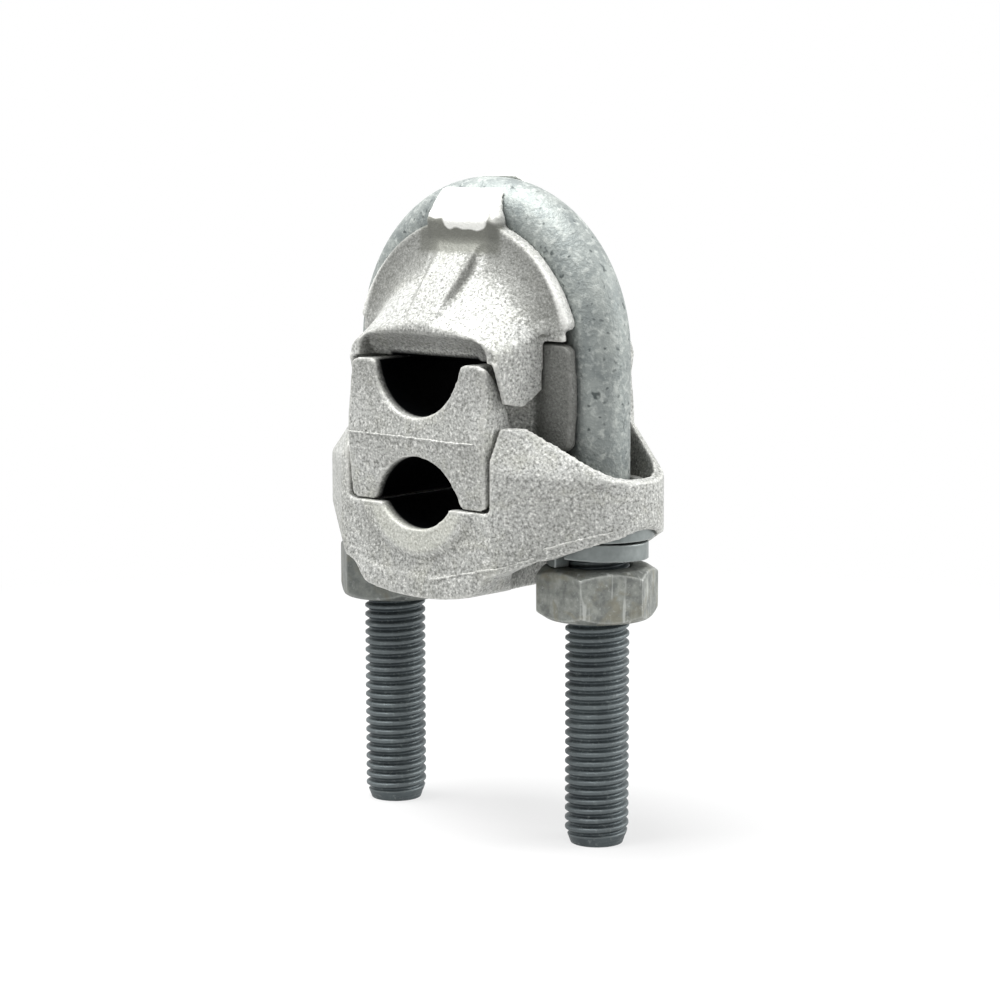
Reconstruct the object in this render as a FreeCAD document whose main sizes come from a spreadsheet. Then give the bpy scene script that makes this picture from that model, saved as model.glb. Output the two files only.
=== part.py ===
import FreeCAD, Part
import math
import os
import Sketcher
from FreeCAD import Placement, Rotation, Vector

# Parallel groove clamp for overhead lines: a bent U-bolt hangs a cast saddle, a cast spacer and a
# cast lower body between its legs, and two nuts draw them together on two parallel conductors.
# X runs across the two legs, Y along the conductors (the front is -Y), Z up.
# The origin is on the ground midway between the leg ends. All sizes are millimetres.

doc = FreeCAD.newDocument("parallel_groove_clamp")

# Driving dimensions: name, value, what it is.
SIZES = [
    # U-bolt
    ("bar_diameter", 10.0, "galvanised bar and its M10 thread"),
    ("leg_spacing", 43.8, "between the axes of the two legs"),
    ("bolt_height", 103.3, "leg ends to the top of the crown"),
    ("leg_point_length", 2.4, "taper at each leg end, along the leg"),
    ("leg_point_depth", 0.9, "taper at each leg end, in from the surface"),
    # Nuts
    ("nut_across_flats", 17.0, "hexagon nut M10, across flats"),
    ("right_nut_height", 8.2, "hexagon nut M10, height"),
    ("left_nut_height", 9.3, "hexagon nut M10 of the taller kind, height"),
    ("nut_face_radius", 7.9, "flat annulus left on each face by the chamfer"),
    ("nut_corner_drop", 1.25, "how far the chamfer takes each corner down"),
    ("nut_bore_clearance", 0.15, "bore over the thread, on the radius"),
    ("right_nut_turn", -5.0, "a corner of the right nut from +X, degrees"),
    ("left_nut_turn", 21.0, "a corner of the left nut from +X, degrees"),
    # Washers
    ("washer_diameter", 17.6, "flat washer, outside"),
    ("washer_bore", 10.6, "flat washer, hole"),
    ("washer_thickness", 2.0, "flat washer"),
    ("spring_washer_bore", 10.4, "split spring washer, inside"),
    ("spring_washer_width", 2.7, "split spring washer, radial width of its wire"),
    ("spring_washer_wire", 2.7, "split spring washer, height of its wire"),
    ("spring_washer_split", 14.0, "gap in the ring, degrees"),
    ("spring_washer_seat_gap", 0.1, "between the ring's ends and what they press on"),
    ("right_spring_rise", 1.6, "how far the right ring is still sprung open"),
    ("left_spring_rise", 1.9, "how far the left ring is still sprung open"),
    ("right_split_turn", 255.0, "low end of the right ring from +X, degrees"),
    ("left_split_turn", 175.0, "low end of the left ring from +X, degrees"),
    # Middle spacer
    ("spacer_drop", 28.1, "crown of the U-bolt down to the tips of the upper horns"),
    ("spacer_height", 22.1, "lower horn tips to upper horn tips"),
    ("spacer_parting_share", 0.47, "height of the parting line, of the spacer's height"),
    ("spacer_length", 34.8, "along the conductors, at the horn tips"),
    ("spacer_draft", 0.9, "each end face bulges this much at the parting line"),
    ("spacer_half_width", 14.6, "half width at the parting line"),
    ("horn_tip_half_width", 14.2, "half width at the horn tips"),
    ("horn_tip_round", 1.1, "round along the horn tips"),
    ("spacer_corner_round", 0.9, "round at the four upright corners"),
    ("spacer_groove_half_width", 8.9, "half the mouth of each conductor groove"),
    ("spacer_top_groove_depth", 8.6, "upper groove, from the horn tips"),
    ("spacer_low_groove_depth", 7.4, "lower groove, from the horn tips"),
    ("neck_half_width", 12.3, "half width between the end flanges"),
    ("neck_round", 1.2, "round where the neck meets the end flanges"),
    ("flange_depth", 5.6, "end flange of the spacer, at mid height"),
    ("flange_tip_depth", 0.2, "end flange of the spacer, at the horn tips"),
    ("guide_plate_half_width", 22.0, "guide plates, out to their edges"),
    ("guide_plate_bow", 0.5, "guide plate edges bow out this much at mid height"),
    ("guide_plate_outer", 7.2, "guide plates, outer face from the middle plane"),
    ("guide_plate_rise", 8.8, "lower horn tips up to the lower edge of the guide plates"),
    ("guide_plate_height", 16.4, "guide plates, height at their outer edge"),
    ("guide_plate_corner", 1.6, "round at the guide plates' corners"),
    ("guide_cove_radius", 4.0, "cove between the guide plates and the neck"),
    ("leg_channel_clearance", 0.4, "guide channel over the bar, on the radius"),
    # Upper saddle
    ("saddle_clearance", 0.3, "spacer horns to the roof of the saddle"),
    ("saddle_rim_radius", 23.2, "rim of the flange that lies along the bar"),
    ("saddle_rim_drop", 2.7, "centre of the bend down to the rim's centre"),
    ("saddle_rim_rise", 5.1, "tunnel roof up to the outer ends of the flange"),
    ("saddle_rim_slope", 0.8, "the flange's lower edge falls this much towards the snout"),
    ("saddle_rim_corner", 0.9, "round at the outer ends of the flange"),
    ("saddle_flange_outer", 7.5, "flange, outer face from the middle plane"),
    ("seat_clearance", 0.1, "saddle seat over the bar, on the radius"),
    ("snout_reach", 17.6, "mouth of the saddle from the middle plane"),
    ("snout_root_drop", 7.2, "bar's axis at the crown down to the roof's root"),
    ("snout_root_half_width", 17.4, "half width of the snout at the flange"),
    ("snout_root_shoulder", 3.9, "tunnel roof up to the roof's side edge at the flange"),
    ("snout_cove", 3.6, "cove from the snout up to the flange"),
    ("snout_shoulder_round", 2.0, "round between the snout's roof and its sides"),
    ("snout_side_drop", 1.0, "the snout's sides reach this far below the tunnel roof"),
    ("snout_mouth_top", 5.2, "tunnel roof up to the top of the mouth"),
    ("snout_mouth_half_width", 15.5, "half width of the snout at the mouth"),
    ("snout_mouth_shoulder", 0.9, "tunnel roof up to the roof's side edge at the mouth"),
    ("snout_mouth_bow", 1.6, "the mouth bows out this much in its middle"),
    ("mouth_bell_depth", 4.6, "how far in the bell mouth starts"),
    ("mouth_bell_rise", 4.0, "how far the bell mouth rises"),
    ("mouth_half_width", 13.6, "half width of the bell mouth"),
    ("mouth_bell_round", 3.4, "round at the bell mouth's upper corners"),
    ("mouth_bell_crown", 0.5, "the bell mouth's roof arches this much"),
    ("mouth_bell_bend", 1.6, "radius of the bell seen from the side, of its slant"),
    ("skirt_depth", 6.7, "side skirts below the tunnel roof"),
    ("skirt_gap", 0.35, "side skirts to the spacer's end flanges"),
    ("skirt_guide_gap", 0.5, "side skirts to the guide plates"),
    ("skirt_corner", 2.4, "height of the corner cut off the skirt's lower rear"),
    ("skirt_toe_rise", 0.6, "the skirt's front edge ends this much above its lowest point"),
    ("skirt_front_share", 0.32, "how far the skirt's front edge leans back, of its length"),
    ("skirt_rear_share", 0.34, "how far the cut corner reaches forward, of its length"),
    ("rib_half_width", 4.6, "rib on the roof, half width at the flange"),
    ("rib_mouth_half_width", 2.6, "rib on the roof, half width at the mouth"),
    ("rib_flank", 0.7, "slope of the rib's sides"),
    ("rib_rise", 2.6, "rib above the roof at the flange"),
    ("rib_mouth_rise", 0.3, "rib above the roof at the mouth"),
    ("tab_root_drop", 7.0, "bar's axis at the crown down to the roots of both tabs"),
    ("tab_corner", 0.9, "round along the tabs' sides"),
    ("tab_tip_thickness", 0.8, "thickness of both tabs at their tips"),
    ("tab_lip_fall", 3.0, "fall from both tabs' lower lips in to the flange"),
    ("tab_left", 6.5, "front crimped tab's left side at its root, from the middle"),
    ("tab_right", 7.8, "front crimped tab's right side at its root, from the middle"),
    ("tab_tip_left", 6.9, "front tab's left corner at its tip, from the middle"),
    ("tab_tip_right", 5.9, "front tab's right corner at its tip, from the middle"),
    ("tab_reach", 0.8, "front tab's tip, in from the bar's front"),
    ("tab_rise", 3.3, "bar's axis at the crown up to the front tab's tip"),
    ("tab_lip_drop", 1.7, "bar's axis at the crown down to the front tab's lower lip"),
    ("tab_lip_outer", 8.3, "front tab's lower lip from the middle plane"),
    ("tab_face_radius", 30.0, "front tab's hammered face"),
    ("rear_tab_left", 4.0, "rear crimped tab's left side at its root, from the middle"),
    ("rear_tab_right", 4.0, "rear crimped tab's right side at its root, from the middle"),
    ("rear_tab_tip_left", 4.0, "rear tab's left corner at its tip, from the middle"),
    ("rear_tab_tip_right", 4.0, "rear tab's right corner at its tip, from the middle"),
    ("rear_tab_reach", 3.0, "rear tab's tip, in from the bar's rear"),
    ("rear_tab_rise", 5.3, "bar's axis at the crown up to the rear tab's tip"),
    ("rear_tab_lip_drop", 1.9, "bar's axis at the crown down to the rear tab's lower lip"),
    ("rear_tab_lip_outer", 8.1, "rear tab's lower lip from the middle plane"),
    ("rear_tab_face_radius", 9.5, "rear tab's outer face"),
    # Lower body
    ("body_clearance", 0.2, "spacer horns to the lower body"),
    ("trough_radius", 8.9, "conductor groove in the lower body"),
    ("trough_drop", 3.9, "spacer's lower horn tips down to the bottom of the groove"),
    ("body_half_length", 17.5, "end faces from the middle plane"),
    ("body_corner_half_width", 16.4, "where an end face meets an arm's face"),
    ("body_corner_round", 5.0, "round between an end face and an arm's face"),
    ("keel_drop", 10.8, "bottom of the groove down to the bottom of the keel"),
    ("keel_radius", 50.0, "round of the keel seen from the front"),
    ("keel_half_width", 12.0, "half width of the keel at its bottom"),
    ("block_half_width", 14.0, "half width of the block under the arms"),
    ("keel_round", 3.0, "round at the keel's lower corners"),
    ("keel_band", 3.4, "height of the raised band along the keel"),
    ("keel_band_rise", 0.4, "how far the band stands proud"),
    ("collar_width", 4.0, "raised collar round the groove"),
    ("collar_rise", 0.5, "how far the collar stands proud"),
    ("washer_seat_drop", 2.7, "spacer's lower horn tips down to the washer seats"),
    ("arm_under_rise", 7.3, "rise of the arm's underside out to the ear"),
    ("parting_drop", 4.7, "washer seat down to the parting line at the body's corner"),
    ("parting_climb", 15.4, "climb of the parting line towards the ear, degrees"),
    ("parting_draft", 76.0, "slope of the arm's face under the parting line, degrees"),
    ("ear_lip", 0.3, "the ear's underside below the washer seat"),
    ("ear_radius", 10.2, "round end of each arm, about the leg"),
    ("ear_heel", 2.2, "chamfer under the ear's end, along the arm"),
    ("ear_heel_rise", 1.5, "chamfer under the ear's end, upwards"),
    ("ear_floor", 5.6, "washer seat up to the pocket's floor"),
    ("ear_rim", 1.6, "pocket's floor up to the rim at the ear's end"),
    ("rim_knee_half_width", 29.6, "where the rim levels off"),
    ("rim_knee_rise", 0.8, "rim at the ear's end up to where it levels off"),
    ("ridge_rise", 8.7, "washer seat up to the ridge where the arm leaves the block"),
    ("ridge_fall", 3.8, "fall of the ridge towards the ear, degrees"),
    ("ridge_slope", 68.0, "slope of the facet above the ridge, degrees"),
    ("shoulder_rise", 12.7, "spacer's lower horn tips up to the shoulders beside it"),
    ("shoulder_half_width", 17.9, "shoulders, out to where the rim drops"),
    ("pocket_radius", 8.5, "pocket about the leg"),
    ("pocket_root_half_length", 14.0, "half length of the pocket beside the spacer"),
    ("leg_hole_radius", 5.6, "hole for the leg"),
    ("leg_ring_radius", 7.3, "raised ring round the hole"),
    ("leg_ring_rise", 1.3, "how far the ring stands above the floor"),
    ("washer_recess_gap", 0.3, "recess for the washers, over the flat washer"),
    ("spanner_gap", 3.6, "room for a socket round each nut's corners"),
]


class Size:
    """A number that remembers the spreadsheet formula that it comes from."""

    def __init__(self, value, text):
        self.value = value
        self.text = text

    def join(self, other, sign, result, swap=False):
        text = other.text if isinstance(other, Size) else repr(float(other))
        left, right = (text, self.text) if swap else (self.text, text)
        return Size(result, "(%s %s %s)" % (left, sign, right))

    def __add__(self, other):
        return self.join(other, "+", self.value + plain(other))

    def __sub__(self, other):
        return self.join(other, "-", self.value - plain(other))

    def __mul__(self, other):
        return self.join(other, "*", self.value * plain(other))

    def __truediv__(self, other):
        return self.join(other, "/", self.value / plain(other))

    def __radd__(self, other):
        return self.join(other, "+", plain(other) + self.value, True)

    def __rsub__(self, other):
        return self.join(other, "-", plain(other) - self.value, True)

    def __rmul__(self, other):
        return self.join(other, "*", plain(other) * self.value, True)

    def __neg__(self):
        return Size(-self.value, "(0 - %s)" % self.text)


def plain(number):
    return number.value if isinstance(number, Size) else float(number)


def formula(number):
    return number.text if isinstance(number, Size) else repr(float(number))


def root(number):
    return Size(math.sqrt(number.value), "sqrt(%s)" % number.text)


def write_sheet():
    sheet = doc.addObject("Spreadsheet::Sheet", "Sizes")
    named = {}
    for row, (name, value, note) in enumerate(SIZES, start=1):
        sheet.set("A%d" % row, name)
        sheet.set("B%d" % row, str(value))
        sheet.set("C%d" % row, note)
        sheet.setAlias("B%d" % row, name)
        named[name] = Size(value, "Sizes.%s" % name)
    doc.recompute()
    return named


sz = write_sheet()


# Drawing helpers

FRONT = Placement(Vector(0, 0, 0), Rotation(Vector(1, 0, 0), 90))
SIDE = Placement(Vector(0, 0, 0), Rotation(Vector(1, 1, 1), 120))
PLAN = Placement()


def bind(item, **sizes):
    for name, number in sizes.items():
        item.setExpression(name.replace("_at_", "."), formula(number))
    return item


def draw(sketch, start, *steps):
    """Close an outline in a sketch: (x, y) is a line to that point, (x, y, radius, side) an arc
    whose centre lies to the left (side 1) or right (side -1) of the way to that point."""
    here = start
    first = last = None
    for step in steps:
        there = step[:2]
        a = Vector(plain(here[0]), plain(here[1]), 0)
        b = Vector(plain(there[0]), plain(there[1]), 0)
        if len(step) == 2:
            edge = sketch.addGeometry(Part.LineSegment(a, b), False)
            head, tail = 1, 2
        else:
            reach = plain(step[2])
            along = (b - a).normalize()
            left = Vector(-along.y, along.x, 0) * step[3]
            half = (b - a).Length / 2
            centre = (a + b) / 2 + left * math.sqrt(max(reach ** 2 - half ** 2, 0))
            turn = [math.atan2(p.y - centre.y, p.x - centre.x) for p in (a, b)]
            if step[3] < 0:
                turn.reverse()
            head, tail = (1, 2) if step[3] > 0 else (2, 1)
            circle = Part.Circle(centre, Vector(0, 0, 1), reach)
            edge = sketch.addGeometry(Part.ArcOfCircle(circle, turn[0], turn[1]), False)
            if reach - half > 1e-6:
                fix(sketch, "Radius", step[2], edge)
            elif abs(along.x) > abs(along.y):
                fix(sketch, "DistanceY", there[1], -1, 1, edge, 3)
            else:
                fix(sketch, "DistanceX", there[0], -1, 1, edge, 3)
        fix(sketch, "DistanceX", there[0], -1, 1, edge, tail)
        fix(sketch, "DistanceY", there[1], -1, 1, edge, tail)
        if last is None:
            first = (edge, head)
        else:
            sketch.addConstraint(Sketcher.Constraint("Coincident", last[0], last[1], edge, head))
        last = (edge, tail)
        here = there
    sketch.addConstraint(Sketcher.Constraint("Coincident", last[0], last[1], first[0], first[1]))
    return sketch


def fix(sketch, kind, number, *where):
    index = sketch.addConstraint(Sketcher.Constraint(kind, *where, plain(number)))
    if isinstance(number, Size):
        sketch.setExpression("Constraints[%d]" % index, number.text)


def outline(name, plane, start, *steps):
    sketch = doc.addObject("Sketcher::SketchObject", name)
    sketch.Placement = plane
    return draw(sketch, start, *steps)


def ring_outline(sketch, *radii):
    for radius in radii:
        circle = Part.Circle(Vector(0, 0, 0), Vector(0, 0, 1), plain(radius))
        edge = sketch.addGeometry(circle, False)
        sketch.addConstraint(Sketcher.Constraint("Coincident", edge, 3, -1, 1))
        fix(sketch, "Radius", radius, edge)
    return sketch


def prism(sketch, length, centred=True):
    solid = doc.addObject("Part::Extrusion", sketch.Name + "_prism")
    solid.Base = sketch
    solid.DirMode = "Normal"
    solid.Solid = True
    solid.Symmetric = centred
    return bind(solid, LengthFwd=length)


def rod(name, radius, length, base, direction=Vector(0, 0, 1)):
    solid = doc.addObject("Part::Cylinder", name)
    solid.Placement = Placement(Vector(0, 0, 0), Rotation(Vector(0, 0, 1), direction))
    bind(solid, Radius=radius, Height=length)
    return move(solid, *base)


def block(name, low, high):
    solid = doc.addObject("Part::Box", name)
    bind(solid, Length=high[0] - low[0], Width=high[1] - low[1], Height=high[2] - low[2])
    return move(solid, *low)


def move(item, x, y, z):
    for axis, number in zip("xyz", (x, y, z)):
        item.setExpression("Placement.Base." + axis, formula(number))
    return item


def mirrored(item, normal):
    copy = doc.addObject("Part::Mirroring", item.Name + "_mirror")
    copy.Source = item
    copy.Normal = normal
    return copy


def both_sides(item):
    return [item, mirrored(item, Vector(1, 0, 0))]


def four_ways(item):
    pair = both_sides(item)
    return pair + [mirrored(one, Vector(0, 1, 0)) for one in pair]


def fuse(name, *items):
    whole = doc.addObject("Part::MultiFuse", name)
    whole.Shapes = list(items)
    whole.Refine = True
    return whole


def common(name, *items):
    whole = doc.addObject("Part::MultiCommon", name)
    whole.Shapes = list(items)
    whole.Refine = True
    return whole


def cut(name, base, *tools):
    tool = tools[0] if len(tools) == 1 else fuse(name + "_tools", *tools)
    whole = doc.addObject("Part::Cut", name)
    whole.Base = base
    whole.Tool = tool
    whole.Refine = True
    return whole


def rounded(name, base, radius, chosen):
    """Fillet the edges of base for which chosen(edge) holds."""
    doc.recompute()
    edges = [i for i, edge in enumerate(base.Shape.Edges, start=1) if chosen(edge)]
    soft = doc.addObject("Part::Fillet", name)
    soft.Base = base
    soft.Edges = [(i, plain(radius), plain(radius)) for i in edges]
    return soft


def body(label):
    part = doc.addObject("PartDesign::Body", label)
    part.Label = label
    return part


def plane_of(part, role):
    return [o for o in part.Origin.OriginFeatures if o.Role == role][0]


def body_sketch(part, name, role="XY_Plane"):
    sketch = part.newObject("Sketcher::SketchObject", name)
    sketch.AttachmentSupport = [(plane_of(part, role), "")]
    sketch.MapMode = "FlatFace"
    return sketch


LEG_X = sz["leg_spacing"] / 2
BAR_RADIUS = sz["bar_diameter"] / 2
CROWN = sz["bolt_height"] - BAR_RADIUS
BEND_CENTRE = CROWN - LEG_X

# Heights above the ground, stacked down from the crown of the U-bolt
SPACER_TOP = sz["bolt_height"] - sz["spacer_drop"]
SPACER_BOTTOM = SPACER_TOP - sz["spacer_height"]
TUNNEL_ROOF = SPACER_TOP + sz["saddle_clearance"]
GROOVE_FLOOR = SPACER_BOTTOM - sz["trough_drop"]
WASHER_SEAT = SPACER_BOTTOM - sz["washer_seat_drop"]
WASHER_BOTTOM = WASHER_SEAT - sz["washer_thickness"]
ZERO = Size(0.0, "0")


# U-bolt: one bar swept along leg, bend and leg, with a turned point at each leg end

def u_bolt():
    part = body("u_bolt")
    path = body_sketch(part, "bar_path", "XZ_Plane")
    foot, crown_z = Vector(plain(LEG_X), 0, 0), plain(BEND_CENTRE)
    left = path.addGeometry(Part.LineSegment(-foot, Vector(-foot.x, crown_z, 0)), False)
    circle = Part.Circle(Vector(0, crown_z, 0), Vector(0, 0, 1), foot.x)
    bend = path.addGeometry(Part.ArcOfCircle(circle, 0, math.pi), False)
    right = path.addGeometry(Part.LineSegment(Vector(foot.x, crown_z, 0), foot), False)
    for kind, *where in (("Tangent", left, 2, bend, 2), ("Tangent", bend, 1, right, 1),
                         ("Vertical", left), ("Vertical", right), ("PointOnObject", left, 1, -1),
                         ("PointOnObject", right, 2, -1), ("PointOnObject", bend, 3, -2)):
        path.addConstraint(Sketcher.Constraint(kind, *where))
    fix(path, "DistanceY", BEND_CENTRE, -1, 1, bend, 3)
    fix(path, "Radius", LEG_X, bend)
    section = body_sketch(part, "bar_section")
    circle = section.addGeometry(
        Part.Circle(Vector(-plain(LEG_X), 0, 0), Vector(0, 0, 1), plain(BAR_RADIUS)), False)
    fix(section, "DistanceX", -LEG_X, -1, 1, circle, 3)
    fix(section, "DistanceY", ZERO, -1, 1, circle, 3)
    fix(section, "Radius", BAR_RADIUS, circle)
    bar = part.newObject("PartDesign::AdditivePipe", "bar")
    bar.Profile = section
    bar.Spine = path
    doc.recompute()
    ends = ["Edge%d" % i for i, edge in enumerate(bar.Shape.Edges, start=1)
            if edge.BoundBox.ZMax < 0.01]
    point = part.newObject("PartDesign::Chamfer", "leg_points")
    point.Base = (bar, ends)
    point.ChamferType = "Two distances"
    point.FlipDirection = False
    bind(point, Size=sz["leg_point_length"], Size2=sz["leg_point_depth"])
    doc.recompute()
    flats = [face for face in point.Shape.Faces if face.BoundBox.ZMax < 0.01]
    wanted = math.pi * plain(BAR_RADIUS - sz["leg_point_depth"]) ** 2
    if abs(flats[0].Area - wanted) > 0.01 * wanted:
        point.FlipDirection = True
        doc.recompute()
    return part


# Hexagon nuts: a hexagon pad, a bore and a turned chamfer on both faces

def hex_nut(label, x, rise, high, turn):
    """A nut pressed against its spring washer, which is sprung open by rise."""
    part = body(label)
    corner = sz["nut_across_flats"] / math.sqrt(3)
    hexagon = body_sketch(part, label + "_hexagon")
    points = [(corner * math.cos(math.radians(a)), corner * math.sin(math.radians(a)))
              for a in range(0, 360, 60)]
    draw(hexagon, points[0], *(points[1:] + points[:1]))
    pad = part.newObject("PartDesign::Pad", label + "_blank")
    pad.Profile = hexagon
    bind(pad, Length=high)
    doc.recompute()
    circle = ring_outline(body_sketch(part, label + "_bore_circle"),
                          BAR_RADIUS + sz["nut_bore_clearance"])
    bore = part.newObject("PartDesign::Pocket", label + "_bore")
    bore.Profile = circle
    bore.Type = "ThroughAll"
    bore.Midplane = True
    doc.recompute()
    beyond = 1.4
    face = sz["nut_face_radius"]
    out = face + (corner - face) * beyond
    drop = sz["nut_corner_drop"] * beyond
    top = high
    turned = body_sketch(part, label + "_chamfer_section", "XZ_Plane")
    draw(turned, (face, top), (out, top), (out, top - drop), (face, top))
    draw(turned, (face, ZERO), (out, drop), (out, ZERO), (face, ZERO))
    chamfer = part.newObject("PartDesign::Groove", label + "_chamfer")
    chamfer.Profile = turned
    chamfer.ReferenceAxis = (turned, ["V_Axis"])
    chamfer.Angle = 360
    doc.recompute()
    if not chamfer.Shape.Volume < bore.Shape.Volume < pad.Shape.Volume:
        raise RuntimeError(label + ": the bore or the chamfer cut nothing")
    part.Placement = Placement(Vector(0, 0, 0), Rotation(Vector(0, 0, 1), plain(turn)))
    return move(part, x, 0, ring_bottom(rise) - sz["spring_washer_seat_gap"] - high)


def ring_bottom(rise):
    """Ground to the underside of a spring washer that is sprung open by rise."""
    return WASHER_BOTTOM - sz["spring_washer_seat_gap"] - sz["spring_washer_wire"] - rise


def flat_washer(label, x):
    part = body(label)
    rings = ring_outline(body_sketch(part, label + "_rings"),
                         sz["washer_diameter"] / 2, sz["washer_bore"] / 2)
    pad = part.newObject("PartDesign::Pad", label + "_disc")
    pad.Profile = rings
    bind(pad, Length=sz["washer_thickness"])
    return move(part, x, 0, WASHER_BOTTOM)


def spring_washer(label, x, rise, turn):
    """A split ring of square wire, sprung open between the nut and the flat washer."""
    part = body(label)
    inner = sz["spring_washer_bore"] / 2
    outer = inner + sz["spring_washer_width"]
    wire = body_sketch(part, label + "_wire", "XZ_Plane")
    draw(wire, (inner, ZERO), (outer, ZERO), (outer, sz["spring_washer_wire"]),
         (inner, sz["spring_washer_wire"]), (inner, ZERO))
    ring = part.newObject("PartDesign::AdditiveHelix", label + "_ring")
    ring.Profile = wire
    ring.ReferenceAxis = (wire, ["V_Axis"])
    ring.Mode = "height-turns-angle"
    ring.LeftHanded = True
    bind(ring, Height=rise, Turns=1 - sz["spring_washer_split"] / 360)
    part.Placement = Placement(Vector(0, 0, 0), Rotation(Vector(0, 0, 1), plain(turn)))
    return move(part, x, 0, ring_bottom(rise))


# Middle spacer: an H-section casting with a groove above and below, end flanges and guide plates

def arc_radius(half_chord, rise):
    return (half_chord * half_chord + rise * rise) / (rise * 2)


def middle_spacer():
    bottom = SPACER_BOTTOM
    top = SPACER_TOP
    middle = bottom + sz["spacer_height"] * sz["spacer_parting_share"]
    tip = sz["horn_tip_half_width"]
    wide = sz["spacer_half_width"]
    groove = sz["spacer_groove_half_width"]
    over = arc_radius(groove, sz["spacer_top_groove_depth"])
    under = arc_radius(groove, sz["spacer_low_groove_depth"])
    face = outline("spacer_face", FRONT, (tip, bottom), (wide, middle), (tip, top), (groove, top),
                   (-groove, top, over, -1), (-tip, top), (-wide, middle), (-tip, bottom),
                   (-groove, bottom), (groove, bottom, under, -1), (tip, bottom))
    end = sz["spacer_length"] / 2
    bulge = end + sz["spacer_draft"]
    beside = outline("spacer_draft_section", SIDE, (-end, bottom), (end, bottom), (bulge, middle),
                     (end, top), (-end, top), (-bulge, middle), (-end, bottom))
    horns = rounded("spacer_horns", prism(face, bulge * 2), sz["horn_tip_round"],
                    lambda e: horn_edge(e, plain(top), plain(bottom)))
    drafted = rounded("spacer_draft", prism(beside, wide * 2 + 2), sz["neck_round"], parting_edge)
    footprint = outline("spacer_plan", PLAN, (-wide, -bulge), (wide, -bulge), (wide, bulge),
                        (-wide, bulge), (-wide, -bulge))
    upright = rounded("spacer_corners", prism(footprint, top * 2), sz["spacer_corner_round"],
                      lambda e: e.BoundBox.ZLength > 1)
    blank = common("spacer_blank", horns, drafted, upright)

    # The neck between the two end flanges, whose inner edges bow towards the middle
    thin = end - sz["flange_tip_depth"]
    bow = sz["flange_depth"] - sz["flange_tip_depth"]
    curve = arc_radius(sz["spacer_height"] / 2, bow)
    neck = outline("spacer_neck_section", SIDE, (-thin, bottom), (thin, bottom),
                   (thin, top, curve, -1), (-thin, top), (-thin, bottom, curve, -1))
    depth = wide - sz["neck_half_width"]
    recess = prism(neck, depth + 2, False)
    move(recess.Base, sz["neck_half_width"], 0, 0)
    necked = cut("spacer_necked", blank, *both_sides(recess))
    soft_neck = rounded("spacer_soft_neck", necked, sz["neck_round"], lambda e: bowed_edge(e, curve))

    # Guide plates that run on the two legs
    plate = sz["guide_plate_outer"]
    reach = sz["guide_plate_half_width"]
    cove = sz["guide_cove_radius"]
    channel = BAR_RADIUS + sz["leg_channel_clearance"]
    inside = sz["neck_half_width"] - 2
    start = sz["neck_half_width"]
    plan = outline("guide_plan", PLAN, (inside, -plate - cove), (start, -plate - cove),
                   (start + cove, -plate, cove, -1), (reach + 1, -plate), (reach + 1, -channel),
                   (LEG_X, -channel), (LEG_X, channel, channel, -1), (reach + 1, channel),
                   (reach + 1, plate), (start + cove, plate), (start, plate + cove, cove, -1),
                   (inside, plate + cove), (inside, -plate - cove))
    low = bottom + sz["guide_plate_rise"]
    high = low + sz["guide_plate_height"]
    tall = prism(plan, high - low, False)
    move(plan, 0, 0, low)
    bowed = arc_radius((high - low) / 2, sz["guide_plate_bow"])
    step = sz["spacer_half_width"] + sz["skirt_gap"] * 2
    ledge = TUNNEL_ROOF - sz["snout_side_drop"] - sz["skirt_gap"]
    front = outline("guide_front", FRONT, (inside, low), (reach, low), (reach, high, bowed, 1),
                    (step, high), (step, ledge), (inside, ledge), (inside, low))
    corners = rounded("guide_corners", prism(front, plate * 2 + cove * 2 + 2), sz["guide_plate_corner"],
                      lambda e: along_y(e) and e.BoundBox.XMin > plain(reach) - 0.1)
    guide = common("guide_plates", tall, corners)
    whole = fuse("spacer_casting", soft_neck, *both_sides(guide))
    whole.Label = "middle_spacer"
    return whole


def parting_edge(edge):
    """The edges across the two end faces where they bulge."""
    box = edge.BoundBox
    middle = SPACER_BOTTOM + sz["spacer_height"] * sz["spacer_parting_share"]
    return box.XLength > 5 and box.YLength < 0.01 and abs(box.ZMin - plain(middle)) < 0.01


def along_y(edge):
    box = edge.BoundBox
    return box.YLength > 1 and box.XLength < 0.01 and box.ZLength < 0.01


def bowed_edge(edge, curve):
    """The bowed edges at the root of the neck."""
    if edge.Curve.TypeId != "Part::GeomCircle":
        return False
    at_neck = abs(abs(edge.CenterOfMass.x) - plain(sz["neck_half_width"])) < 0.01
    return at_neck and abs(edge.Curve.Radius - plain(curve)) < 0.01


def horn_edge(edge, top, bottom):
    """The long edges of the four horn tips."""
    box = edge.BoundBox
    if box.YLength < 5 or box.ZLength > 0.01 or box.XLength > 0.01:
        return False
    return abs(box.ZMin - top) < 0.01 or abs(box.ZMin - bottom) < 0.01


# Upper saddle: a flanged seat inside the bend, with a roofed snout over the groove at each end

# Where the sections of the snout stand, as shares of the cove and of the straight run
COVE_STEPS = (0, 0.1, 0.3, 0.6, 1)
RUN_STEPS = (0.35, 0.7, 1)


def along_snout(y, at_flange, at_mouth):
    """A size that changes evenly from the flange's face to the mouth."""
    outer = sz["saddle_flange_outer"]
    return at_flange + (at_mouth - at_flange) * ((-outer - y) / (sz["snout_reach"] - outer))


def roof_crest(y):
    return along_snout(y, CROWN - sz["snout_root_drop"], TUNNEL_ROOF + sz["snout_mouth_top"])


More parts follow.
